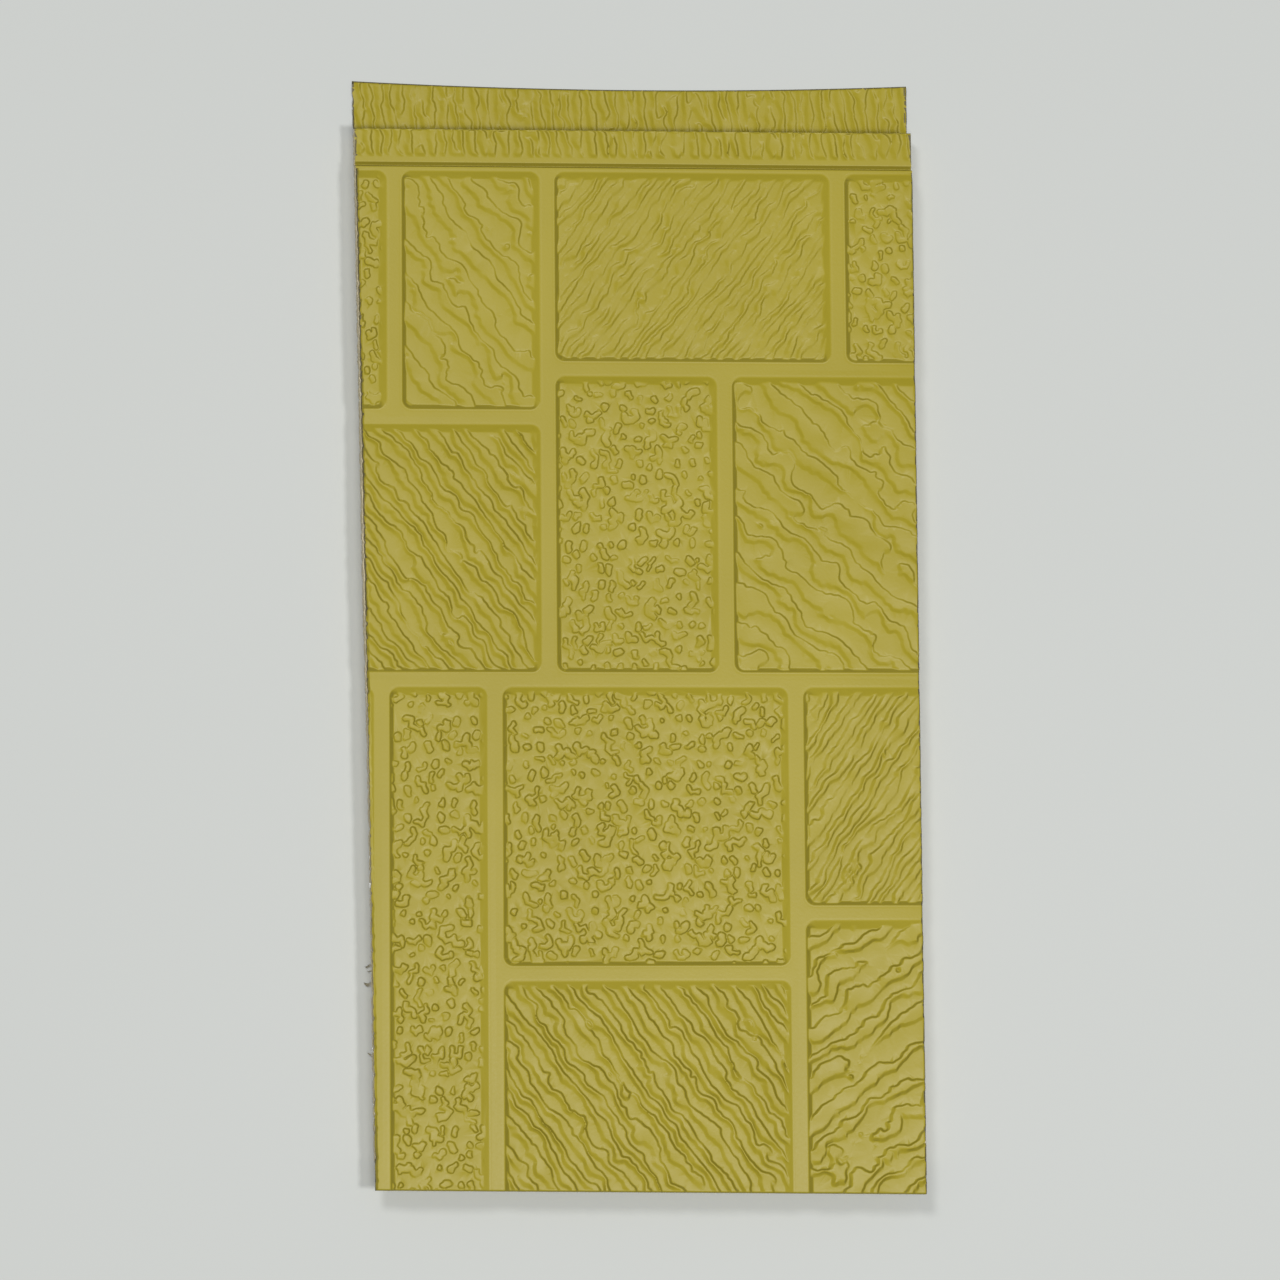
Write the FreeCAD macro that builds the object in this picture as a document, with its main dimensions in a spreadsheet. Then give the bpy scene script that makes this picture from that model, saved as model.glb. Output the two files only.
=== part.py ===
import FreeCAD, Part
import math
import os
import Sketcher

# Insulated wall panel: a sawn sample of a foam sandwich siding board with an embossed
# stone pattern. It lies flat, face up. +Z points out of the face, +Y towards the nailing
# flange, +X along the board, and the origin is under the middle of the back. All in mm.

os.makedirs("parts", exist_ok=True)
doc = FreeCAD.newDocument("wall_panel")

# Driving sizes, and below them the places that follow from them.

SIZES = {
    "sample_length": 201.6,
    "cut_skew": 1.02,
    "panel_thickness": 16.0,
    "cover_width": 383.0,
    "tongue_width": 12.7,
    "flange_width": 20.5,
    "flange_bow": 2.4,
    "sheet_thickness": 0.3,
    "foil_thickness": 0.1,
    "bend_radius": 0.8,
    "tongue_drop": 2.1,
    "groove_drop": 3.4,
    "groove_dark_run": 1.3,
    "groove_light_run": 0.8,
    "lock_clearance": 0.3,
    "return_leg": 4.0,
    "stone_height": 1.4,
    "stone_run": 1.3,
    "stone_corner": 3.6,
    "stone_edge": 0.4,
    "joint_width": 5.8,
    "head_margin": 4.0,
    "upright_a": -89.3,
    "upright_b": -32.5,
    "upright_c": 76.0,
    "upright_e": 33.1,
    "upright_f": -52.7,
    "upright_g": 58.4,
    "upright_h": -94.3,
    "course_one": 96.5,
    "course_two": 78.2,
    "course_three": 194.4,
    "course_four": 302.7,
    "course_five": 280.6,
    "overrun": 70.0,
    "end_margin": 10.0,
}
FOLLOWING = {
    "overall_width": "cover_width + tongue_width + flange_width",
    "flange_edge": "overall_width / 2",
    "flange_middle": "flange_edge - flange_bow",
    "lip_edge": "-overall_width / 2",
    "nose": "flange_edge - flange_width",
    "groove_line": "lip_edge + cover_width",
    "groove_bottom": "groove_line - groove_dark_run",
    "groove_end": "groove_bottom - groove_light_run",
    "core_edge": "lip_edge + tongue_width + lock_clearance",
    "nose_inside": "nose - sheet_thickness",
    "lip_inside": "lip_edge + sheet_thickness",
    "core_edge_inside": "core_edge + sheet_thickness",
    "joint_level": "panel_thickness - stone_height",
    "tongue_level": "joint_level - tongue_drop",
    "groove_level": "joint_level - groove_drop",
    "lip_level": "tongue_level + lock_clearance",
    "leg_end": "lip_level - return_leg",
    "joint_under": "joint_level - sheet_thickness",
    "tongue_under": "tongue_level - sheet_thickness",
    "groove_under": "groove_level - sheet_thickness",
    "lip_upper": "lip_level + sheet_thickness",
    "right_end": "(sample_length + overall_width * tan(cut_skew * 1deg)) / 2",
    "left_end_flange": "-right_end",
    "left_end_lip": "right_end - sample_length",
    "blank_length": "2 * (right_end + overrun + end_margin)",
    "left_overrun": "-right_end - overrun",
    "right_overrun": "right_end + overrun",
    "lip_overrun": "lip_edge - overrun",
    "lip_wall_depth": "lip_inside - lip_overrun",
    "block_width": "overall_width + overrun",
    "block_height": "2 * (panel_thickness + end_margin)",
    "bow_radius": "right_end ^ 2 / (2 * flange_bow) + flange_bow / 2",
    "stone_head": "groove_line - head_margin",
    "stone_taper": "atan(stone_run / stone_height) / 1deg",
}
UPRIGHTS = ("a", "b", "c", "e", "f", "g", "h")
COURSES = ("one", "two", "three", "four", "five")
for letter in UPRIGHTS:
    FOLLOWING[f"left_of_{letter}"] = f"upright_{letter} - joint_width / 2"
    FOLLOWING[f"right_of_{letter}"] = f"upright_{letter} + joint_width / 2"
for word in COURSES:
    FOLLOWING[f"below_{word}"] = f"groove_line - course_{word} - joint_width / 2"
    FOLLOWING[f"above_{word}"] = f"groove_line - course_{word} + joint_width / 2"

sheet = doc.addObject("Spreadsheet::Sheet", "sizes")
for row, (name, value) in enumerate(SIZES.items(), 1):
    sheet.set(f"A{row}", name)
    sheet.set(f"B{row}", str(value))
    sheet.setAlias(f"B{row}", name)
for row, (name, formula) in enumerate(FOLLOWING.items(), len(SIZES) + 1):
    sheet.set(f"A{row}", name)
    sheet.set(f"B{row}", "=" + formula)
    sheet.setAlias(f"B{row}", name)
doc.recompute()


def size(name):
    """A size or place from the sheet, as a plain number."""
    return float(sheet.get(name))


def origin_plane(body, role):
    """One of the body's own three planes."""
    return next(plane for plane in body.Origin.OriginFeatures if plane.Role == role)


def new_sketch(body, label, role):
    """An empty sketch on one of the body's planes."""
    sketch = body.newObject("Sketcher::SketchObject", label)
    sketch.AttachmentSupport = [(origin_plane(body, role), "")]
    sketch.MapMode = "FlatFace"
    return sketch


def tie(sketch, kind, line, end, name):
    """Hold a point of the sketch at the named distance from the sketch's origin."""
    index = sketch.addConstraint(Sketcher.Constraint(kind, -1, 1, line, end, size(name)))
    sketch.setExpression(f"Constraints[{index}]", f"sizes.{name}")


def closed_outline(sketch, corners):
    """Straight lines round corners given as pairs of named places; 'floor' is the zero line."""
    places = []
    for across, up in corners:
        height = 0.0 if up == "floor" else size(up)
        places.append(FreeCAD.Vector(size(across), height, 0))
    count = len(corners)
    for line in range(count):
        sketch.addGeometry(Part.LineSegment(places[line], places[(line + 1) % count]))
    for line, (across, up) in enumerate(corners):
        sketch.addConstraint(Sketcher.Constraint("Coincident", line, 2, (line + 1) % count, 1))
        tie(sketch, "DistanceX", line, 1, across)
        if up == "floor":
            sketch.addConstraint(Sketcher.Constraint("PointOnObject", line, 1, -1))
        else:
            tie(sketch, "DistanceY", line, 1, up)


def rounded_rectangle(sketch, left, right, low, high, corner):
    """A rectangle between four named lines, with its corners rounded by a named radius."""
    x0, x1, y0, y1, r = (size(name) for name in (left, right, low, high, corner))
    lines = (
        ((x0 + r, y0), (x1 - r, y0)),
        ((x1, y0 + r), (x1, y1 - r)),
        ((x1 - r, y1), (x0 + r, y1)),
        ((x0, y1 - r), (x0, y0 + r)),
    )
    centres = ((x1 - r, y0 + r), (x1 - r, y1 - r), (x0 + r, y1 - r), (x0 + r, y0 + r))
    for start, stop in lines:
        sketch.addGeometry(Part.LineSegment(FreeCAD.Vector(*start, 0), FreeCAD.Vector(*stop, 0)))
    for turn, centre in enumerate(centres):
        circle = Part.Circle(FreeCAD.Vector(*centre, 0), FreeCAD.Vector(0, 0, 1), r)
        begin = math.radians(-90 + 90 * turn)
        sketch.addGeometry(Part.ArcOfCircle(circle, begin, begin + math.radians(90)))
    for side in range(4):
        arc = side + 4
        sketch.addConstraint(Sketcher.Constraint("Tangent", side, 2, arc, 1))
        sketch.addConstraint(Sketcher.Constraint("Tangent", arc, 2, (side + 1) % 4, 1))
    for side, direction in enumerate(("Horizontal", "Vertical", "Horizontal", "Vertical")):
        sketch.addConstraint(Sketcher.Constraint(direction, side))
    for arc in (5, 6, 7):
        sketch.addConstraint(Sketcher.Constraint("Equal", 4, arc))
    index = sketch.addConstraint(Sketcher.Constraint("Radius", 4, r))
    sketch.setExpression(f"Constraints[{index}]", f"sizes.{corner}")
    tie(sketch, "DistanceY", 0, 1, low)
    tie(sketch, "DistanceX", 1, 1, right)
    tie(sketch, "DistanceY", 2, 1, high)
    tie(sketch, "DistanceX", 3, 1, left)


def pad(body, sketch, label, length, symmetric=False):
    """Pad a sketch by a named length, away from its plane or to both sides of it."""
    feature = body.newObject("PartDesign::Pad", label)
    feature.Profile = sketch
    feature.SideType = "Symmetric" if symmetric else "One side"
    feature.setExpression("Length", f"sizes.{length}")
    return feature


# Stones of the embossed pattern, each between a left, a right, a lower and an upper line.
# Those that the sawn ends or the lip cut through run on past them before the cut.

STONES = (
    ("left_overrun", "left_of_a", "above_one", "stone_head"),
    ("right_of_a", "left_of_b", "above_one", "stone_head"),
    ("right_of_b", "left_of_c", "above_two", "stone_head"),
    ("right_of_c", "right_overrun", "above_two", "stone_head"),
    ("left_overrun", "left_of_b", "above_three", "below_one"),
    ("right_of_b", "left_of_e", "above_three", "below_two"),
    ("right_of_e", "right_overrun", "above_three", "below_two"),
    ("left_overrun", "left_of_h", "lip_overrun", "below_three"),
    ("right_of_h", "left_of_f", "lip_overrun", "below_three"),
    ("right_of_f", "left_of_g", "above_four", "below_three"),
    ("right_of_g", "right_overrun", "above_five", "below_three"),
    ("right_of_f", "left_of_g", "lip_overrun", "below_four"),
    ("right_of_g", "right_overrun", "lip_overrun", "below_five"),
)


def pressed_board(label, section, bends, foot):
    """The board's section padded along its length, its bends rounded, and the stones raised."""
    body = doc.addObject("PartDesign::Body", label)
    profile = new_sketch(body, f"{label}_section", "YZ_Plane")
    closed_outline(profile, section)
    blank = pad(body, profile, f"{label}_blank", "blank_length", symmetric=True)
    doc.recompute()
    rounded = body.newObject("PartDesign::Fillet", f"{label}_bends")
    rounded.Base = (blank, long_edges(blank.Shape, bends))
    rounded.setExpression("Radius", "sizes.bend_radius")
    for number, (left, right, low, high) in enumerate(STONES, 1):
        plan = new_sketch(body, f"{label}_plan_{number}", "XY_Plane")
        plan.setExpression("AttachmentOffset.Base.z", f"sizes.{foot}")
        rounded_rectangle(plan, left, right, low, high, "stone_corner")
        stone = pad(body, plan, f"{label}_stone_{number}", "stone_height")
        stone.setExpression("TaperAngle", "-sizes.stone_taper * 1deg")
    doc.recompute()
    return body


def long_edges(shape, corners):
    """Names of the edges that run along the board through the given corners of its section."""
    near = 0.01
    names = []
    for number, edge in enumerate(shape.Edges, 1):
        place = edge.CenterOfMass
        for across, up in corners:
            if abs(place.x) < near and math.hypot(place.y - size(across), place.z - size(up)) < near:
                names.append(f"Edge{number}")
    return names


def level_edges(shape, height):
    """Names of the edges that lie wholly at one height: the rims of the stones."""
    near = 0.01
    names = []
    for number, edge in enumerate(shape.Edges, 1):
        box = edge.BoundBox
        if abs(box.ZMin - height) < near and abs(box.ZMax - height) < near:
            names.append(f"Edge{number}")
    return names


# The sheet's outer skin and the room inside it are two boards of the same make, one sheet
# thickness apart. What lies between them is the sheet, and the inner one is what foam fills.

outer = pressed_board(
    "outer_skin",
    (
        ("flange_edge", "floor"),
        ("flange_edge", "sheet_thickness"),
        ("nose", "sheet_thickness"),
        ("nose", "tongue_level"),
        ("groove_line", "tongue_level"),
        ("groove_bottom", "groove_level"),
        ("groove_end", "joint_level"),
        ("lip_edge", "joint_level"),
        ("lip_edge", "lip_level"),
        ("core_edge", "lip_level"),
        ("core_edge", "floor"),
    ),
    (("nose", "tongue_level"), ("groove_end", "joint_level")),
    "joint_level",
)
inner = pressed_board(
    "inner_room",
    (
        ("nose_inside", "floor"),
        ("nose_inside", "tongue_under"),
        ("groove_line", "tongue_under"),
        ("groove_bottom", "groove_under"),
        ("groove_end", "joint_under"),
        ("lip_inside", "joint_under"),
        ("lip_inside", "lip_upper"),
        ("core_edge_inside", "lip_upper"),
        ("core_edge_inside", "leg_end"),
        ("core_edge", "leg_end"),
        ("core_edge", "floor"),
    ),
    (("nose_inside", "tongue_under"), ("groove_end", "joint_under")),
    "joint_under",
)


last_stone = outer.Tip
rims = outer.newObject("PartDesign::Fillet", "stone_rims")
rims.Base = (last_stone, level_edges(last_stone.Shape, size("panel_thickness")))
rims.setExpression("Radius", "sizes.stone_edge")

# The plan of the finished sample: square right end, left end sawn out of square, and the
# flange's free edge bowed in a shallow arc. The block stands through the whole thickness.

sample_block = doc.addObject("PartDesign::Body", "sample_block")
plan = new_sketch(sample_block, "sample_plan", "XY_Plane")
lip_left = FreeCAD.Vector(size("left_end_lip"), size("lip_edge"), 0)
lip_right = FreeCAD.Vector(size("right_end"), size("lip_edge"), 0)
flange_right = FreeCAD.Vector(size("right_end"), size("flange_edge"), 0)
flange_left = FreeCAD.Vector(size("left_end_flange"), size("flange_edge"), 0)
bow_centre = FreeCAD.Vector(0, size("flange_middle") + size("bow_radius"), 0)
half_turn = math.asin(size("right_end") / size("bow_radius"))
bow_circle = Part.Circle(bow_centre, FreeCAD.Vector(0, 0, 1), size("bow_radius"))
plan.addGeometry(Part.LineSegment(lip_left, lip_right))
plan.addGeometry(Part.LineSegment(lip_right, flange_right))
plan.addGeometry(Part.ArcOfCircle(bow_circle, 1.5 * math.pi - half_turn, 1.5 * math.pi + half_turn))
plan.addGeometry(Part.LineSegment(flange_left, lip_left))
for one, one_end, other, other_end in ((0, 2, 1, 1), (1, 2, 2, 2), (2, 1, 3, 1), (3, 2, 0, 1)):
    plan.addConstraint(Sketcher.Constraint("Coincident", one, one_end, other, other_end))
for line, end, across, up in (
    (0, 1, "left_end_lip", "lip_edge"),
    (1, 1, "right_end", "lip_edge"),
    (1, 2, "right_end", "flange_edge"),
    (3, 1, "left_end_flange", "flange_edge"),
):
    tie(plan, "DistanceX", line, end, across)
    tie(plan, "DistanceY", line, end, up)
bow = plan.addConstraint(Sketcher.Constraint("Radius", 2, size("bow_radius")))
plan.setExpression(f"Constraints[{bow}]", "sizes.bow_radius")
pad(sample_block, plan, "sample_height", "block_height", symmetric=True)


def slab(label, low_line, depth, height):
    """A plain box across the whole blank, from a named line towards +Y, standing on the floor."""
    box = doc.addObject("Part::Box", label)
    box.setExpression("Length", "sizes.blank_length")
    box.setExpression("Width", f"sizes.{depth}")
    box.setExpression("Height", f"sizes.{height}")
    box.setExpression("Placement.Base.x", "-sizes.blank_length / 2")
    box.setExpression("Placement.Base.y", f"sizes.{low_line}")
    return box


def combine(kind, label, base, tool):
    """One solid cut by, or shared with, another."""
    result = doc.addObject(kind, label)
    result.Base = base
    result.Tool = tool
    return result


# The lip's folded front wall closes the room below it, so the stones stop inside that wall.

lip_wall = slab("lip_wall", "lip_overrun", "lip_wall_depth", "panel_thickness")
room = combine("Part::Cut", "room", inner, lip_wall)
skin = combine("Part::Cut", "skin", outer, room)
face_sheet = combine("Part::Common", "face_sheet", skin, sample_block)

# The foil is the bottom of the room, and the foam is all the rest of it.

core_blank = combine("Part::Common", "core_blank", room, sample_block)
foil_bed = slab("foil_bed", "lip_overrun", "block_width", "foil_thickness")
back_foil = combine("Part::Common", "back_foil", core_blank, foil_bed)
foam_core = combine("Part::Cut", "foam_core", core_blank, foil_bed)

doc.recompute()
for item in doc.Objects:
    assert "Invalid" not in item.State and "Error" not in item.State, item.Label
for node in (face_sheet, foam_core, back_foil):
    assert not node.Shape.isNull() and node.Shape.isValid(), node.Label
    assert len(node.Shape.Solids) == 1, node.Label
    print(node.Label, round(node.Shape.Volume, 1), node.Shape.BoundBox)
    node.Shape.exportStep(f"parts/{node.Label}.step")
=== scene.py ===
import math

import bpy
import numpy as np
from mathutils import Euler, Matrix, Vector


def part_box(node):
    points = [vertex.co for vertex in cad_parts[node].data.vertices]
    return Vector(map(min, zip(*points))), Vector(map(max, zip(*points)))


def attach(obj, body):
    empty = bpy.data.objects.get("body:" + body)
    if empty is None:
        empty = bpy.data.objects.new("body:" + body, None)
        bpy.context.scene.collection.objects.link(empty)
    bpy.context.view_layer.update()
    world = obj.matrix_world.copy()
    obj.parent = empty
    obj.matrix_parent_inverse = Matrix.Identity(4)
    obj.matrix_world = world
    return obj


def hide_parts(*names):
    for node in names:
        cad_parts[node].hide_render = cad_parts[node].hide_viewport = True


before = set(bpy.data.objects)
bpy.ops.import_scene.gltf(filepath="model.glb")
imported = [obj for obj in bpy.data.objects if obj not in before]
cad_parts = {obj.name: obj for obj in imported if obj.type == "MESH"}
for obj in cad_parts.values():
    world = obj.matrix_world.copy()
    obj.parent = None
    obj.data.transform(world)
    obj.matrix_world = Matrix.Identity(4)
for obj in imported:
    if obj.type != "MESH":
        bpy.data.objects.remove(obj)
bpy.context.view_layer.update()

# Pressed stones. The face is one painted steel strip, run between engraved rolls that raise
# a bond of stones 1.4 mm proud of flat joints. Each stone has a tooth of its own: shallow pits
# like sandstone, or slanting ledges like split slate, sharp on one side and soft on the other.

MM = 0.001
sheet_low, sheet_high = (tuple(1000 * v for v in corner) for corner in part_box("face_sheet"))
LIP_EDGE = sheet_low[1]
FLANGE_EDGE = sheet_high[1]
RIGHT_END = sheet_high[0]
FACE_LEVEL = sheet_high[2]
STEEL = 0.3
STONE_RISE = 1.4
JOINT_LEVEL = FACE_LEVEL - STONE_RISE
HEAD_LINE = 171.9
CUT_LENGTH = 201.6
CUT_LEAN = 2 * RIGHT_END - CUT_LENGTH


def saw_plane(across):
    """X of the left end: a straight saw cut, out of square."""
    return -RIGHT_END + CUT_LEAN * (FLANGE_EDGE - across) / (FLANGE_EDGE - LIP_EDGE)


def sawn_line(across):
    """X where the strip ends on the left: torn back a little from the cut, most at mid-length."""
    places = (-208, -131, -30, 15, 120, 186, 190)
    back = np.interp(across, places, (0.1, 0.6, 0.75, 0.7, 0.5, 0.3, 0.15))
    chatter = 0.12 * np.sin(across * 1.9) * np.sin(across * 0.37 + 1.0)
    tear = 0.26 * np.clip(np.sin(across * 0.83 + 2.0 * np.sin(across * 0.21)), 0, 1) ** 3
    return saw_plane(across) + back + np.maximum(0, chatter) + tear


def grain(rows, columns, pitch, seed, wavelength, spread, stretch=1.0, lean=0.0):
    """Even-sized random swirls, drawn out along a line that leans to the left of +Y."""
    chance = np.random.default_rng(seed).standard_normal((rows, columns))
    down = np.fft.fftfreq(rows, pitch)[:, None]
    across = np.fft.fftfreq(columns, pitch)[None, :]
    turn = math.radians(lean)
    along = (down * math.cos(turn) + across * math.sin(turn)) * stretch
    beside = across * math.cos(turn) - down * math.sin(turn)
    count = np.hypot(along, beside)
    keep = np.exp(-(((count - 1 / wavelength) * wavelength / spread) ** 2))
    swirls = np.real(np.fft.ifft2(np.fft.fft2(chance) * keep))
    return swirls / swirls.std()


def ease(value):
    """Smooth climb from 0 to 1."""
    value = np.clip(value, 0, 1)
    return value * value * (3 - 2 * value)


def ledge(gap, pitch, sharp, soft):
    """1 where the gap, in mm, is above zero and 0 below, with a wall that is sharp where it
    faces the lower left and soft elsewhere. Rows run down the panel."""
    down, across = np.gradient(gap, pitch)
    lower_left = (0.64 * across - 0.77 * down) / np.maximum(np.hypot(down, across), 0.3)
    width = soft + (sharp - soft) * ease((lower_left + 0.5) / 0.9)
    return ease(gap / width + 0.5)


PIT_SPACING = 5.0
PIT_REACH = 7.0


def sandstone(rows, columns, pitch, seed, depth):
    """Depth of scattered pits, each gouged by one to three short crooked strokes."""
    chance = np.random.default_rng(seed)
    crook_x = 0.16 * grain(rows, columns, pitch, seed + 1, 3.4, 0.5)
    crook_y = 0.16 * grain(rows, columns, pitch, seed + 2, 3.4, 0.5)
    gap = np.full((rows, columns), 9.0)
    for row in range(-1, int(rows * pitch / PIT_SPACING) + 2):
        for column in range(-1, int(columns * pitch / PIT_SPACING) + 2):
            place = chance.uniform(-0.31, 0.31, 2) + (column + 0.5 * (row % 2), row)
            start = place * PIT_SPACING
            turn = chance.uniform(1.0, 2.1) if chance.random() < 0.5 else chance.uniform(0, math.pi)
            radius = chance.uniform(0.75, 1.4)
            strokes = chance.choice((1, 2, 3), p=(0.66, 0.24, 0.10))
            length = chance.uniform(0.1, 2.4) if strokes == 1 else chance.uniform(1.8, 3.0)
            near = [
                [max(0, int((middle + step) / pitch)) for step in (-PIT_REACH, PIT_REACH)]
                for middle in (start[1], start[0])
            ]
            window = tuple(slice(first, last) for first, last in near)
            if gap[window].size == 0:
                continue
            far = crook_x[window] + (np.arange(columns) * pitch)[window[1]][None, :]
            deep = crook_y[window] + (np.arange(rows) * pitch)[window[0]][:, None]
            for _ in range(strokes):
                way = np.array([math.cos(turn), math.sin(turn)])
                share = (far - start[0]) * way[0] + (deep - start[1]) * way[1]
                share = np.clip(share, 0, length)
                off = np.hypot(far - start[0] - share * way[0], deep - start[1] - share * way[1])
                gap[window] = np.minimum(gap[window], off - radius)
                start = start + length * way
                turn += chance.choice((-1, 1)) * chance.uniform(0.8, 1.7)
    patches = grain(rows, columns, pitch, seed + 3, 12.0, 0.6)
    pits = 1 - ledge(gap, pitch, 0.8, 1.0)
    return pits * depth * np.clip(1 + 0.26 * patches, 0.3, 1.25)


def slate(rows, columns, pitch, seed, lean, spacing, forking, depth, length=3.6):
    """Depth of long slanting ledges that wriggle, fork and close up."""
    turn = math.radians(lean)
    down = (np.arange(rows) * pitch)[:, None]
    across = (np.arange(columns) * pitch)[None, :]
    drift = grain(rows, columns, pitch, seed, 22.0, 0.5, 1.6, lean)
    wriggle = grain(rows, columns, pitch, seed + 1, 5 + spacing, 0.5)
    crinkle = grain(rows, columns, pitch, seed + 4, 4.0, 0.5)
    forks = grain(rows, columns, pitch, seed + 2, 1.5 * spacing, 0.5, length, lean)
    patches = grain(rows, columns, pitch, seed + 3, 16.0, 0.6)
    beside = across * math.cos(turn) - down * math.sin(turn)
    bend = 0.9 * drift + (0.3 + 0.05 * spacing) * wriggle + 0.16 * crinkle
    bands = np.cos(2 * math.pi * beside / spacing + bend) + forking * forks + 0.15
    slope = np.hypot(*np.gradient(bands, pitch)) + 1.6 / spacing
    low = 1 - ledge(bands / slope, pitch, 0.8, 2.0)
    return low * depth * np.clip(1 + 0.2 * patches, 0.4, 1.24)


STONE_CORNER = 3.6
SHARP_RUN = 1.5
SOFT_RUN = 3.0
RUN_CHANGE = 3.0
RIM_SOFTNESS = 0.22
RIM_DROP = 0.02
FOOT_SOFTNESS = 0.10
FOOT_DIP = 0.05
DIP_OUT = 0.45
DIP_WIDTH = 0.4
UNDER_BOX = 0.015


def stone_distance(across, up, left, right, low, high):
    """How far inside a stone's foot line, with its rounded corners, a place is."""
    side = np.abs(across - (left + right) / 2) - ((right - left) / 2 - STONE_CORNER)
    rise = np.abs(up - (low + high) / 2) - ((high - low) / 2 - STONE_CORNER)
    outside = np.hypot(np.maximum(side, 0), np.maximum(rise, 0))
    return STONE_CORNER - outside - np.minimum(np.maximum(side, rise), 0)


def lower_of(first, second, softness):
    """The lower of two surfaces, with the crease between them rounded."""
    share = np.clip(0.5 + 0.5 * (second - first) / softness, 0, 1)
    return second * (1 - share) + first * share - softness * share * (1 - share)


def stone_level(across, up, foot, tooth):
    """Height of the face over one stone and its half of the joints."""
    inside = stone_distance(across, up, *foot)
    to_left_low = np.minimum(across - foot[0], up - foot[2])
    to_right_high = np.minimum(foot[1] - across, foot[3] - up)
    shift = (to_left_low - to_right_high) / RUN_CHANGE
    run = SHARP_RUN + (SOFT_RUN - SHARP_RUN) * ease(0.5 + shift)
    flank = JOINT_LEVEL + STONE_RISE * inside / run
    top = FACE_LEVEL + RIM_SOFTNESS / 4 - RIM_DROP - tooth
    joint = JOINT_LEVEL - FOOT_DIP * np.exp(-(((inside + DIP_OUT) / DIP_WIDTH) ** 2))
    stone = -lower_of(-lower_of(flank, top, RIM_SOFTNESS), -joint, FOOT_SOFTNESS)
    return np.minimum(stone, FACE_LEVEL - UNDER_BOX)


LEFT_DRAG = 0.62
LEFT_DRAG_REACH = 1.2
RIGHT_DRAG = 0.30
RIGHT_DRAG_REACH = 0.8


def curl_down(level, across, up):
    """The face with its two sawn ends dragged down a little by the blade."""
    from_saw = across - sawn_line(up)
    drag = LEFT_DRAG + 0.30 * np.sin(up * 0.11 + 1.2) * np.sin(up * 0.043)
    level = level - drag * (1 - ease(from_saw / LEFT_DRAG_REACH))
    return level - RIGHT_DRAG * (1 - ease((RIGHT_END - across) / RIGHT_DRAG_REACH))


LIP_BEND = 0.8
LIP_HEM = 0.4
LIP_UNDERSIDE = 12.8
LIP_RETURN = 13.0
LIP_LEG_END = 8.8
LIP_SHORT = 1.7
LIP_LONG = 0.7
LIP_SKEW_FROM = -140.0


def lip_rows(crest):
    """Y, Z and the way into the steel of the rows that carry the face round the lip's bend,
    down its wall, back under the lip and down the return leg."""
    hem_top = LIP_UNDERSIDE + LIP_HEM
    rows = []
    for angle in (15, 30, 45, 60, 75, 90):
        sine, cosine = math.sin(math.radians(angle)), math.cos(math.radians(angle))
        out, down = LIP_BEND * (1 - sine), LIP_BEND * (1 - cosine)
        rows.append((LIP_EDGE + out, crest - down, (sine, -cosine)))
    for share in (0.25, 0.5, 0.75, 1.0):
        wall = (crest - LIP_BEND) * (1 - share) + hem_top * share
        rows.append((LIP_EDGE, wall, (1.0, 0.0)))
    for angle in (30, 60, 90):
        sine, cosine = math.sin(math.radians(angle)), math.cos(math.radians(angle))
        hem = hem_top - LIP_HEM * sine
        rows.append((LIP_EDGE + LIP_HEM * (1 - cosine), hem, (cosine, sine)))
    for reach in (2.0, 5.0, 8.0, 11.0, LIP_RETURN - LIP_HEM):
        rows.append((LIP_EDGE + reach, LIP_UNDERSIDE, (0.0, 1.0)))
    for drop in (0.4, 1.6, 2.8, LIP_UNDERSIDE - LIP_LEG_END):
        rows.append((LIP_EDGE + LIP_RETURN, LIP_UNDERSIDE - drop, (1.0, 0.0)))
    rows.append((LIP_EDGE + LIP_RETURN + STEEL, LIP_LEG_END, (0.0, 1.0)))
    places, levels, turns = zip(*rows)
    return np.array(places), np.array([level + 0 * crest for level in levels]), np.array(turns)


def tilted_lip(x, y, z):
    """Y of the lip's rows, whose edge is bent askew: short at the left end, long at the right."""
    reach = np.where(
        z[:, 0] < LIP_UNDERSIDE + STEEL,
        (LIP_EDGE + LIP_RETURN - y[:, 0]) / LIP_RETURN,
        (LIP_SKEW_FROM - y[:, 0]) / (LIP_SKEW_FROM - LIP_EDGE),
    )
    skew = LIP_SHORT - (LIP_LONG + LIP_SHORT) * (x + RIGHT_END) / (2 * RIGHT_END)
    return y + np.clip(reach, 0, 1)[:, None] * skew


def grid_mesh(name, x, y, z, bare_and_shaded):
    """The mesh through rows of points, in mm, with the bare steel, coloured dark as painted shade,
    in a material of its own.
    """
    rows, columns = x.shape
    places = np.stack([x, y, z], -1).reshape(-1, 3) * MM
    number = np.arange(rows * columns).reshape(rows, columns)
    quads = np.stack([number[1:, :-1], number[1:, 1:], number[:-1, 1:], number[:-1, :-1]], -1)
    bare_and_shaded = bare_and_shaded[1:, 1:] | bare_and_shaded[:-1, :-1]
    mesh = bpy.data.meshes.new(name)
    mesh.vertices.add(len(places))
    mesh.vertices.foreach_set("co", places.ravel())
    mesh.loops.add(quads.size)
    mesh.loops.foreach_set("vertex_index", quads.ravel())
    mesh.polygons.add(quads.size // 4)
    mesh.polygons.foreach_set("loop_start", np.arange(0, quads.size, 4))
    mesh.polygons.foreach_set("material_index", bare_and_shaded.ravel())
    mesh.update(calc_edges=True)
    return mesh


CREASE = math.radians(62)
MAP_CORNER = (110.0, 210.0)
MAP_SIDE = 420.0


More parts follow.
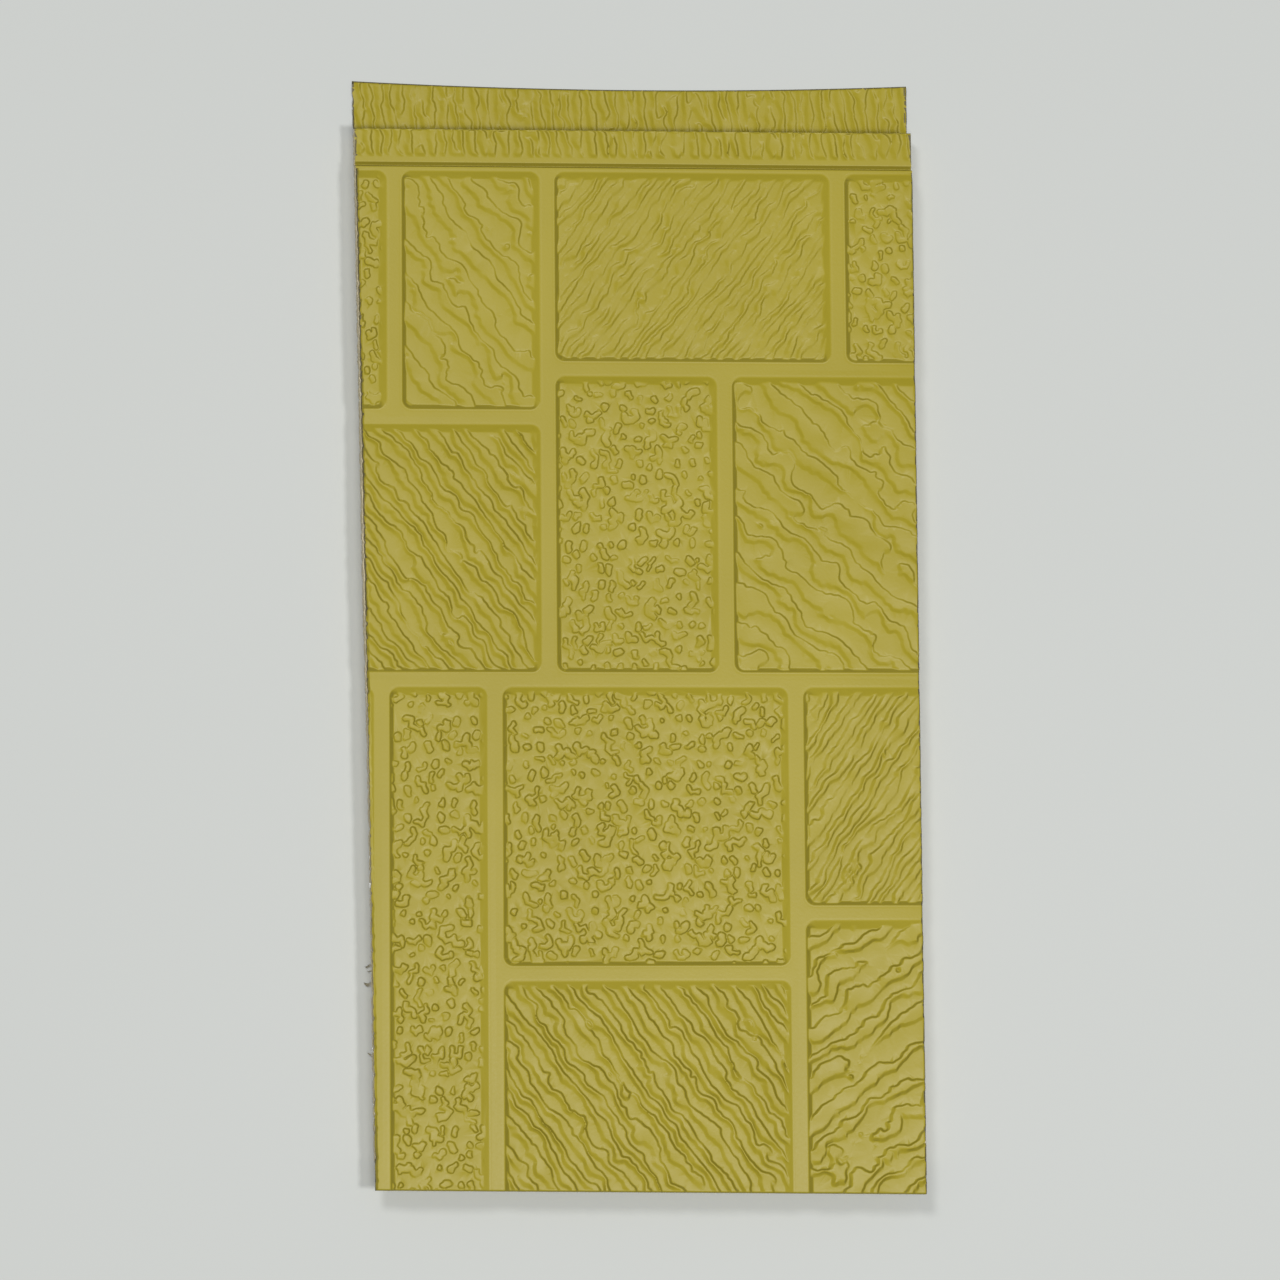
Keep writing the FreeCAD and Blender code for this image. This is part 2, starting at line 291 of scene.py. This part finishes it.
def thinned_mesh(name, mesh, share):
    """The mesh with a share of its faces, fewest where it is flat, and mapped flat from above."""
    rough = bpy.data.objects.new(name + "_rough", mesh)
    bpy.context.scene.collection.objects.link(rough)
    thin = rough.modifiers.new("thin", "DECIMATE")
    thin.ratio = share
    seen = bpy.context.evaluated_depsgraph_get()
    thinned = bpy.data.meshes.new_from_object(rough.evaluated_get(seen))
    bpy.data.objects.remove(rough)
    bpy.data.meshes.remove(mesh)
    thinned.name = name
    thinned.shade_smooth()
    thinned.set_sharp_from_angle(angle=CREASE)
    flat_map = thinned.uv_layers.new(name="OFBake")
    corners = np.zeros(len(thinned.loops), int)
    thinned.loops.foreach_get("vertex_index", corners)
    spots = np.zeros(len(thinned.vertices) * 3)
    thinned.vertices.foreach_get("co", spots)
    spots = spots.reshape(-1, 3)[corners] / MM
    flat_map.data.foreach_set("uv", ((spots[:, :2] + MAP_CORNER) / MAP_SIDE).ravel())
    return thinned


END_STEP = 0.9


def rolled_grid(name, x, y, z, inward, share, left_end=False, right_end=False, bare_and_shaded_rows=0):
    """One piece of the rolled strip from rows of points. Its cut ends are turned in by the steel's
    thickness, and there a strip is bare steel with the paint chipped off, coloured dark as painted
    shade along the edge."""
    # The bare strips are partly real bare steel and partly painted shade along the cut edges.
    chip_and_shade_wobble = np.clip(np.sin(0.9 * y + 2 * np.sin(0.31 * y)), 0, 1) ** 2
    bare_and_shaded = np.zeros(x.shape, int)
    bare_and_shaded[:bare_and_shaded_rows] = 1
    if left_end:
        chipped_and_shaded = np.interp(y, (-208, -40, 0, 190), (0.14, 0.16, 0.24, 0.34))
        bare_and_shaded[x - x[:, :1] < chipped_and_shaded + 0.20 * chip_and_shade_wobble] = 1
    if right_end:
        bare_and_shaded[x[:, -1:] - x < 0.16 + 0.20 * chip_and_shade_wobble] = 1
    for wanted, column, step in ((left_end, 0, END_STEP), (right_end, -1, -END_STEP)):
        if not wanted:
            continue
        under_y = y[:, column] + STEEL * inward[:, 0]
        under_z = z[:, column] + STEEL * inward[:, 1]
        new = [np.stack([x[:, column], x[:, column] + step], 1)]
        new += [np.stack([line, line], 1) for line in (under_y, under_z, np.ones(len(x), int))]
        old = (x, y, z, bare_and_shaded)
        if column == 0:
            x, y, z, bare_and_shaded = (np.concatenate([end[:, ::-1], face], 1) for end, face in zip(new, old))
        else:
            x, y, z, bare_and_shaded = (np.concatenate([face, end], 1) for end, face in zip(new, old))
    piece = bpy.data.objects.new(name, thinned_mesh(name, grid_mesh(name, x, y, z, bare_and_shaded), share))
    bpy.context.scene.collection.objects.link(piece)
    return piece


class Coat:
    """An output of a finish's nodes. Sums written on it become the nodes that work them out."""

    def __init__(self, tree, socket=None):
        self.tree = tree
        self.socket = socket

    def node(self, kind, settings=None, inputs=None, output=0):
        """Adds a node of a kind, sets its settings, then its sockets' values or links."""
        made = self.tree.nodes.new("ShaderNode" + kind)
        for name, value in (settings or {}).items():
            setattr(made, name, value)
        for name, value in (inputs or {}).items():
            if isinstance(value, Coat):
                self.tree.links.new(value.socket, made.inputs[name])
            else:
                made.inputs[name].default_value = value
        return Coat(self.tree, made.outputs[output])

    def sum(self, operation, first, second=0.0):
        return self.node("Math", {"operation": operation}, {0: first, 1: second})

    def __add__(self, other):
        return self.sum("ADD", self, other)

    __radd__ = __add__

    def __sub__(self, other):
        return self.sum("SUBTRACT", self, other)

    def __rsub__(self, other):
        return self.sum("SUBTRACT", other, self)

    def __mul__(self, other):
        return self.sum("MULTIPLY", self, other)

    __rmul__ = __mul__

    def __pow__(self, other):
        return self.sum("POWER", self, other)

    def clamped(self):
        return self.node("Clamp", {}, {"Value": self})

    def blend(self, first, second):
        """A colour between two, by this value."""
        return self.node(
            "Mix", {"data_type": "RGBA"}, {"Factor": self, "A": first, "B": second}, output=2
        )


def new_finish(name):
    """An empty finish: the material, its node maker and where things are, in metres."""
    material = bpy.data.materials.new(name)
    material.use_nodes = True
    material.node_tree.nodes.clear()
    coat = Coat(material.node_tree)
    return material, coat, coat.node("NewGeometry")


def close_finish(material, coat, surface):
    """Joins the finished surface to the material's output."""
    out = coat.tree.nodes.new("ShaderNodeOutputMaterial")
    coat.tree.links.new(surface.socket, out.inputs["Surface"])
    return material


def speckle(coat, place, scale, detail=2.0, roughness=0.5):
    """Noise of a given number of swirls to the metre."""
    return coat.node(
        "TexNoise", {}, {"Vector": place, "Scale": scale, "Detail": detail, "Roughness": roughness}
    )


PAINT_DEEP = (0.369, 0.298, 0.010, 1)
PAINT_PALE = (0.397, 0.323, 0.016, 1)
# Colour given to steep surfaces: painted shade on the walls of the pits and ledges and on the
# stones' flanks.
PAINTED_SHADE_ON_WALLS = (0.276, 0.226, 0.018, 1)
PAINT_FLECK = (0.47, 0.40, 0.12, 1)

finish, coat, place = new_finish("olive_face_paint")
clouds = speckle(coat, place, 22.0, 3.0, 0.55)
tint = ((clouds - 0.5) * 2.4 + 0.5).clamped()
orange_peel = speckle(coat, place, 900.0, 2.0, 0.6)
dust = speckle(coat, place, 3800.0, 1.0)
fleck = ((dust - 0.62) * 9.0).clamped()
colour = (fleck * 0.10).blend(tint.blend(PAINT_DEEP, PAINT_PALE), PAINT_FLECK)
facing = coat.node("NewGeometry", output=1)
level = coat.node("SeparateXYZ", {}, {"Vector": facing}, output=2)
# Painted shade: steep surfaces take the darker wall colour, fading out where they turn upright.
wall = (((1 - level) * 4.0).clamped() ** 1.9) * (level * 6.0).clamped()
peel = coat.node("Bump", {}, {"Height": orange_peel, "Strength": 0.10, "Distance": 0.0004})
face_paint = close_finish(finish, coat, coat.node("BsdfPrincipled", {}, {
    "Base Color": wall.blend(colour, PAINTED_SHADE_ON_WALLS),
    "Roughness": 0.40 + 0.10 * orange_peel,
    "Specular IOR Level": 0.48,
    "Normal": peel,
}))

# Bare steel at the cut ends and the flange's edge, coloured much darker than bare steel: partly the
# real bare edge, partly painted shade along those edges.
STEEL_PAINTED_SHADE_DEEP = (0.085, 0.072, 0.030, 1)
STEEL_PAINTED_SHADE_PALE = (0.200, 0.170, 0.075, 1)

finish, coat, place = new_finish("sheared_steel_edge_painted_shade")
drag = speckle(coat, place, 2600.0, 3.0, 0.6)
bare_and_shaded_steel = close_finish(finish, coat, coat.node("BsdfPrincipled", {}, {
    "Base Color": drag.blend(STEEL_PAINTED_SHADE_DEEP, STEEL_PAINTED_SHADE_PALE),
    "Metallic": 0.55 - 0.3 * drag,
    "Roughness": 0.50 + 0.2 * drag,
}))

HALF_JOINT = 2.9
STONE_HEAD = 170.9
BEYOND = 60.0
FINE_PITCH = 0.26
SPARE = 24
KEPT_SHARE = 0.30
UPRIGHTS = {"a": -89.3, "b": -32.5, "c": 76.0, "e": 33.1, "f": -52.7, "g": 58.4, "h": -94.3}
COURSES = {"one": 78.4, "two": 96.7, "three": -19.5, "four": -127.8, "five": -105.7}

# Each row: the stone, its uprights left and right, its courses below and above, and its tooth.
STONES = (
    ("stone_top_end_left", None, "a", "one", None, sandstone, (0.60,)),
    ("stone_top_left", "a", "b", "one", None, slate, (36, 8.4, 0.45, 0.52)),
    ("stone_top_middle", "b", "c", "two", None, slate, (-36, 4.6, 0.42, 0.52, 4.5)),
    ("stone_top_end_right", "c", None, "two", None, sandstone, (0.52,)),
    ("stone_second_end_left", None, "b", "three", "one", slate, (38, 5.2, 0.42, 0.68, 5.0)),
    ("stone_second_middle", "b", "e", "three", "two", sandstone, (0.58,)),
    ("stone_second_end_right", "e", None, "three", "two", slate, (48, 9.0, 0.50, 0.58)),
    ("stone_bottom_sliver", None, "h", None, "three", sandstone, (0.60,)),
    ("stone_bottom_left", "h", "f", None, "three", sandstone, (0.66,)),
    ("stone_third_middle", "f", "g", "four", "three", sandstone, (0.66,)),
    ("stone_third_end_right", "g", None, "five", "three", slate, (-34, 4.9, 0.40, 0.68, 5.0)),
    ("stone_bottom_middle", "f", "g", None, "four", slate, (36, 5.3, 0.42, 0.84, 5.0)),
    ("stone_bottom_end_right", "g", None, None, "five", slate, (-54, 8.6, 0.5, 0.95)),
)
end_lines = {"left": [], "right": []}

for seed, (name, left, right, low, high, tooth_of, tooth_facts) in enumerate(STONES):
    cell_left = UPRIGHTS[left] if left else None
    cell_right = UPRIGHTS[right] if right else RIGHT_END
    cell_low = COURSES[low] if low else LIP_EDGE + LIP_BEND
    cell_high = COURSES[high] if high else HEAD_LINE
    foot = (
        cell_left + HALF_JOINT if left else -RIGHT_END - BEYOND,
        cell_right - HALF_JOINT if right else RIGHT_END + BEYOND,
        cell_low + HALF_JOINT if low else LIP_EDGE - BEYOND,
        cell_high - HALF_JOINT if high else STONE_HEAD,
    )
    row_count = int((cell_high - cell_low) / FINE_PITCH) + 1
    widest_left = cell_left if left else -RIGHT_END
    column_count = int((cell_right - widest_left) / FINE_PITCH) + 1
    rows = np.linspace(cell_high, cell_low, row_count)
    starts = np.full(row_count, cell_left) if left else sawn_line(rows)
    steps = np.linspace(0, 1, column_count)
    x = starts[:, None] + (cell_right - starts[:, None]) * steps[None, :]
    y = np.repeat(rows[:, None], column_count, 1)
    tooth = tooth_of(
        row_count + SPARE, column_count + SPARE, FINE_PITCH, 100 * seed + 11, *tooth_facts
    )
    z = curl_down(stone_level(x, y, foot, tooth[:row_count, :column_count]), x, y)
    if not left:
        end_lines["left"].append((rows, z[:, 0]))
    if not right:
        end_lines["right"].append((rows, z[:, -1]))
    inward = np.repeat([[0.0, -1.0]], row_count, 0)
    if not low:
        more_y, more_z, more_in = lip_rows(z[-1])
        x = np.concatenate([x, np.repeat(x[-1:], len(more_y), 0)])
        y = np.concatenate([y, np.repeat(more_y[:, None], column_count, 1)])
        z = np.concatenate([z, more_z])
        inward = np.concatenate([inward, more_in])
        y = tilted_lip(x, y, z)
    stone = rolled_grid(
        name, x, y, z, inward, KEPT_SHARE, left_end=not left, right_end=not right
    )
    stone.data.materials.append(face_paint)
    stone.data.materials.append(bare_and_shaded_steel)
    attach(stone, "root")
    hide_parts("face_sheet")

# Tongue and nailing flange. Past the last course the same strip dips into a groove, runs out
# as a tongue that carries the pressed grain, turns down over the foam's nose and out again as
# a flat flange, through which the panel is nailed to the wall.

GROOVE_END = 172.8
GROOVE_BOTTOM = 173.6
GROOVE_LINE = 174.9
NOSE = 187.6
GRAIN_LINE = 176.6
TONGUE_LEVEL = 12.5
GROOVE_LEVEL = 11.2
FLANGE_BOW = 2.4
FLANGE_FOOT = 2.0
FLANGE_GRAIN_TOP = 0.62
TONGUE_GRAIN = 1.1
UNDER_STRIP = 1.2
OUTER_ROWS = 4


def rounded_run(corners, radii, step):
    """Points along a section whose corners are rounded, and the way into the steel at each."""
    corners = [np.array(corner, float) for corner in corners]
    points = [corners[0]]
    for before, corner, after, radius in zip(corners, corners[1:], corners[2:], radii):
        back = (before - corner) / np.linalg.norm(before - corner)
        ahead = (after - corner) / np.linalg.norm(after - corner)
        half = math.acos(float(np.clip(back @ ahead, -1, 1))) / 2
        reach = radius / math.tan(half)
        middle = corner + (back + ahead) / np.linalg.norm(back + ahead) * radius / math.sin(half)
        first, last = corner + back * reach - middle, corner + ahead * reach - middle
        turn = math.atan2(first[0] * last[1] - first[1] * last[0], first @ last)
        for share in np.linspace(0, 1, 7):
            c, s = math.cos(turn * share), math.sin(turn * share)
            spoke = np.array([c * first[0] - s * first[1], s * first[0] + c * first[1]])
            points.append(middle + spoke)
    points.append(corners[-1])
    points = np.array(points)
    lengths = np.concatenate([[0], np.cumsum(np.hypot(*np.diff(points, axis=0).T))])
    stations = np.unique(np.concatenate([lengths, np.arange(0, lengths[-1], step)]))
    line = np.stack([np.interp(stations, lengths, points[:, axis]) for axis in (0, 1)], 1)
    ahead = np.gradient(line, stations, axis=0)
    ahead /= np.linalg.norm(ahead, axis=1)[:, None]
    return line, np.stack([ahead[:, 1], -ahead[:, 0]], 1)


section, into = rounded_run(
    (
        (HEAD_LINE, JOINT_LEVEL),
        (GROOVE_END, JOINT_LEVEL),
        (GROOVE_BOTTOM, GROOVE_LEVEL),
        (GROOVE_LINE, TONGUE_LEVEL),
        (NOSE, TONGUE_LEVEL),
        (NOSE, STEEL),
        (FLANGE_EDGE, STEEL),
    ),
    (0.5, 0.25, 0.6, 0.8, 0.35),
    FINE_PITCH,
)
section, into = section[::-1], into[::-1]
along, height = section[:, 0], section[:, 1]
row_count = len(section)
column_count = int(CUT_LENGTH / FINE_PITCH)
starts = sawn_line(along)
x = starts[:, None] + (RIGHT_END - starts[:, None]) * np.linspace(0, 1, column_count)[None, :]
flange_share = np.clip((along - NOSE) / (FLANGE_EDGE - NOSE), 0, 1)[:, None]
y = section[:, :1] - FLANGE_BOW * (1 - (x / RIGHT_END) ** 2) * flange_share
z = np.repeat(section[:, 1:], column_count, 1)
bark = slate(row_count + SPARE, column_count + SPARE, FINE_PITCH, 1711, 4, 3.8, 0.8, 0.5, 2.6)
bark = bark[:row_count, :column_count]
on_tongue = ease((along - GRAIN_LINE) / 2.2) * (along < NOSE - 0.05)
on_flange = ease((along - NOSE) / 0.8) * ease((FLANGE_EDGE - along) / 0.9) * (height < FLANGE_FOOT)
z = z - TONGUE_GRAIN * bark * on_tongue[:, None] * ease((NOSE - along) / 0.7)[:, None]
z = z + (FLANGE_GRAIN_TOP - bark) * on_flange[:, None]
body_rows = (along < NOSE - STEEL) & (height > FLANGE_FOOT)
end_lines["left"].append((along[body_rows], z[body_rows, 0]))
end_lines["right"].append((along[body_rows], z[body_rows, -1]))
low_y = np.stack([y[0], y[0] - UNDER_STRIP])
low_z = np.stack([z[0] - STEEL, z[0] - STEEL])
x = np.concatenate([x[:1], x[:1], x])
y = np.concatenate([low_y[::-1], y])
z = np.concatenate([low_z, z])
into = np.concatenate([[[0.0, 0.0], [0.0, 0.0]], into])
# The flange's outer rows are bare steel, coloured dark as painted shade along its edge.
flange = rolled_grid(
    "tongue_and_nailing_flange", x, y, z, into, KEPT_SHARE,
    left_end=True, right_end=True, bare_and_shaded_rows=OUTER_ROWS,
)
flange.data.materials.append(face_paint)
flange.data.materials.append(bare_and_shaded_steel)
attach(flange, "root")
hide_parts("face_sheet")

# Foam core. Rigid cream foam poured between strip and foil, which it grips as it sets. It
# shows at the two sawn ends and as the wall of the groove under the lip.

FOAM_DEEP = (0.50, 0.41, 0.23, 1)
FOAM_PALE = (0.78, 0.69, 0.48, 1)

finish, coat, place = new_finish("cream_foam")
cells = coat.node("TexVoronoi", {"feature": "F1"}, {"Vector": place, "Scale": 2600.0})
clouds = speckle(coat, place, 120.0, 3.0)
tone = (0.75 * cells + 0.5 * clouds).clamped()
cell_bump = coat.node("Bump", {}, {"Height": cells, "Strength": 0.5, "Distance": 0.0003})
foam_finish = close_finish(finish, coat, coat.node("BsdfPrincipled", {}, {
    "Base Color": tone.blend(FOAM_DEEP, FOAM_PALE),
    "Roughness": 0.9,
    "Normal": cell_bump,
}))

FOIL = 0.1
CORE_EDGE = -195.1
NOSE_INSIDE = NOSE - STEEL
FOAM_PITCH = 0.45
CAP_ROWS = 26
HIDDEN_TOP = 13.9
HIDDEN_DROP = 0.8
STEP_DROP = 0.2
LEFT_STEPS = (0.5, 1.3)
RIGHT_STEPS = (0.3, 1.1)


def ring_block(name, stations, ring_x, ring_z):
    """A closed block from one ring of points at each station along Y."""
    ring = ring_x.shape[1]
    ring_y = np.repeat(stations[:, None], ring, 1)
    places = np.stack([ring_x, ring_y, ring_z], -1).reshape(-1, 3) * MM
    number = np.arange(len(stations) * ring).reshape(len(stations), ring)
    onward = np.roll(number, -1, 1)
    faces = np.stack([number[:-1], onward[:-1], onward[1:], number[1:]], -1).reshape(-1, 4).tolist()
    faces.append(number[0][::-1].tolist())
    faces.append(number[-1].tolist())
    mesh = bpy.data.meshes.new(name)
    mesh.from_pydata(places.tolist(), [], faces)
    mesh.shade_smooth()
    mesh.set_sharp_from_angle(angle=CREASE)
    block = bpy.data.objects.new(name, mesh)
    bpy.context.scene.collection.objects.link(block)
    return block


stations = np.arange(CORE_EDGE, NOSE_INSIDE, FOAM_PITCH)
stations[-1] = NOSE_INSIDE
places = (-190, -60, -20, 10, 90, 150, 186)
showing = np.interp(stations, places, (0.1, 0.1, 0.4, 0.65, 0.5, 0.4, 0.3))
caps = {}
for seed, side in enumerate(("left", "right")):
    line = np.concatenate([np.stack(part, 1) for part in end_lines[side]])
    line = line[np.argsort(line[:, 0])]
    top = np.interp(stations, line[:, 0], line[:, 1]) - STEEL
    up = FOIL + (top[:, None] - FOIL) * np.linspace(0, 1, CAP_ROWS)[None, :]
    cells = grain(len(stations), CAP_ROWS + 10, FOAM_PITCH, 900 + seed, 1.5, 0.5)[:, :CAP_ROWS]
    lumps = grain(len(stations), CAP_ROWS + 30, FOAM_PITCH, 910 + seed, 7.0, 0.6)[:, :CAP_ROWS]
    worn = np.clip(0.24 + 0.09 * cells + 0.10 * lumps, 0.03, 1.0)
    if side == "left":
        caps[side] = (sawn_line(stations)[:, None] - showing[:, None] + worn, up)
    else:
        caps[side] = (RIGHT_END - 0.5 * worn, up)
left_x, left_z = caps["left"]
right_x, right_z = caps["right"]
# Behind each sawn end the block's top steps down, to stay hidden under the strip.
left_top, right_top = left_z[:, -1:], right_z[:, -1:]
left_low = np.minimum(left_top - HIDDEN_DROP, HIDDEN_TOP)
right_low = np.minimum(right_top - HIDDEN_DROP, HIDDEN_TOP)
ring_x = np.concatenate([
    left_x, left_x[:, -1:] + LEFT_STEPS[0], left_x[:, -1:] + LEFT_STEPS[1],
    right_x[:, -1:] - RIGHT_STEPS[1], right_x[:, -1:] - RIGHT_STEPS[0], right_x[:, ::-1],
], 1)
ring_z = np.concatenate([
    left_z, left_top - STEP_DROP, left_low, right_low, right_top - STEP_DROP, right_z[:, ::-1],
], 1)
foam = ring_block("foam_core_block", stations, ring_x, ring_z)
foam.data.materials.append(foam_finish)
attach(foam, "root")
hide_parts("foam_core")

# Back foil. Thin aluminium foil that the foam is poured on, and that faces the wall. It puckers
# a little as the foam sets.

FOIL_DULL = (0.62, 0.63, 0.64, 1)
FOIL_BRIGHT = (0.80, 0.81, 0.82, 1)

finish, coat, place = new_finish("back_foil_aluminium")
creases = speckle(coat, place, 260.0, 4.0, 0.6)
crease_bump = coat.node("Bump", {}, {"Height": creases, "Strength": 0.35, "Distance": 0.0008})
foil_finish = close_finish(finish, coat, coat.node("BsdfPrincipled", {}, {
    "Base Color": creases.blend(FOIL_DULL, FOIL_BRIGHT),
    "Metallic": 1.0,
    "Roughness": 0.22 + 0.2 * creases,
    "Normal": crease_bump,
}))

FOIL_ROWS = 120
FOIL_COLUMNS = 64
FOIL_PITCH = 3.2

foil_low, foil_high = (tuple(1000 * v for v in corner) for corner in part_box("back_foil"))
stations = np.linspace(foil_low[1], foil_high[1], FOIL_ROWS)
spread = np.linspace(0, 1, FOIL_COLUMNS)[None, :]
starts = sawn_line(stations)[:, None] + 0.2
under_x = starts + (RIGHT_END - 0.05 - starts) * spread
puckers = grain(FOIL_ROWS, FOIL_COLUMNS, FOIL_PITCH, 41, 22.0, 0.7)
puckers = puckers + 0.6 * grain(FOIL_ROWS, FOIL_COLUMNS, FOIL_PITCH, 42, 9.0, 0.5)
under_z = np.clip(0.035 + 0.018 * puckers, 0, 0.075)
foil = ring_block(
    "back_foil_sheet",
    stations,
    np.concatenate([under_x, under_x[:, ::-1]], 1),
    np.concatenate([under_z, np.full(under_z.shape, FOIL)], 1),
)
foil.data.materials.append(foil_finish)
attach(foil, "root")
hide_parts("back_foil")

# Torn foil. The saw pulls the foil instead of cutting it clean, so a few shreds of it stand
# out of the left end, curled up.

SHRED_STEPS = 9
SHRED_ROOT = 0.5

# Each row: where along Y a shred is, its width, its length and how far its tip is lifted.
SHREDS = (
    (-123.9, 1.0, 2.1, 1.1),
    (-125.6, 0.5, 1.4, 1.6),
    (-130.4, 1.6, 2.6, 1.3),
    (-156.2, 0.9, 1.6, 0.9),
)

for number, (across, width, length, lift) in enumerate(SHREDS):
    along = np.linspace(0, 1, SHRED_STEPS)
    middle = across + 0.35 * np.sin(5 * along + number)
    half = 0.5 * width * (1 - 0.65 * along ** 2)
    rise = 0.06 + lift * along ** 1.6 * (0.8 + 0.2 * np.cos(7 * along))
    out = sawn_line(np.array(across)) + SHRED_ROOT - (length + SHRED_ROOT) * along
    ring_y = np.stack([middle - half, middle + half, middle + half, middle - half], 1)
    ring_z = np.stack([rise, rise + 0.25 * along, rise + 0.25 * along + 0.09, rise + 0.09], 1)
    places = np.stack([np.repeat(out[:, None], 4, 1), ring_y, ring_z], -1).reshape(-1, 3) * MM
    corner = np.arange(4 * SHRED_STEPS).reshape(SHRED_STEPS, 4)
    onward = np.roll(corner, -1, 1)
    faces = np.stack([corner[:-1], corner[1:], onward[1:], onward[:-1]], -1).reshape(-1, 4).tolist()
    faces += [corner[0].tolist(), corner[-1][::-1].tolist()]
    mesh = bpy.data.meshes.new("torn_foil_shred_%d" % (number + 1))
    mesh.from_pydata(places.tolist(), [], faces)
    mesh.materials.append(foil_finish)
    shred = bpy.data.objects.new(mesh.name, mesh)
    bpy.context.scene.collection.objects.link(shred)
    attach(shred, "root")
    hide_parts("back_foil")

# The table, the lamps and the camera. The sample lies face up on a plain pale table. One lamp
# stands to the right, a weaker one beyond the flange and one overhead, whose sheen lies on the
# lower courses. The camera looks down from the lip's side.

TABLE_DEEP = (0.630, 0.645, 0.622, 1)
TABLE_PALE = (0.650, 0.666, 0.644, 1)

finish, coat, place = new_finish("pale_table")
haze = speckle(coat, place, 3.0, 2.0)
table_finish = close_finish(finish, coat, coat.node("BsdfPrincipled", {}, {
    "Base Color": haze.blend(TABLE_DEEP, TABLE_PALE),
    "Roughness": 0.7,
    "Specular IOR Level": 0.05,
}))
table_mesh = bpy.data.meshes.new("table")
table_mesh.from_pydata([(-6, -6, 0), (6, -6, 0), (6, 6, 0), (-6, 6, 0)], [], [(0, 1, 2, 3)])
table_mesh.materials.append(table_finish)
table = bpy.data.objects.new("table", table_mesh)
bpy.context.scene.collection.objects.link(table)


def lamp(name, toward, distance, across, share):
    """A round soft lamp aimed at the sample, which gives it a share of full light."""
    steer = np.array(toward, float) / np.linalg.norm(toward)
    light = bpy.data.lights.new(name, "AREA")
    light.shape = "DISK"
    light.size = across
    light.energy = share * math.pi ** 2 * distance ** 2 / steer[2]
    made = bpy.data.objects.new(name, light)
    made.location = steer * distance
    turn = math.atan2(steer[1], steer[0]) + math.pi / 2
    made.rotation_euler = (math.acos(steer[2]), 0.0, turn)
    bpy.context.scene.collection.objects.link(made)


lamp("right_lamp", (5.6, -3.5, 16.0), 2.6, 0.34, 0.27)
lamp("flange_lamp", (-4.5, 5.6, 16.0), 2.6, 0.60, 0.22)
lamp("overhead_panel", (0.02, -0.60, 2.6), 2.7, 0.9, 0.30)

ROOM_COLOUR = (0.97, 0.99, 1.0, 1)
ROOM_LIGHT = 0.21

room = bpy.data.worlds.new("room")
bpy.context.scene.world = room
room.use_nodes = True
room.node_tree.nodes["Background"].inputs["Color"].default_value = ROOM_COLOUR
room.node_tree.nodes["Background"].inputs["Strength"].default_value = ROOM_LIGHT

camera_data = bpy.data.cameras.new("camera")
camera_data.sensor_width = 36.0
camera_data.lens = 168.7
camera = bpy.data.objects.new("camera", camera_data)
camera.location = (-0.1760, -0.2961, 2.2)
camera.rotation_euler = Euler([math.radians(angle) for angle in (7.61, -4.57, -0.46)])
bpy.context.scene.collection.objects.link(camera)
bpy.context.scene.camera = camera
bpy.context.scene.view_settings.view_transform = "Standard"
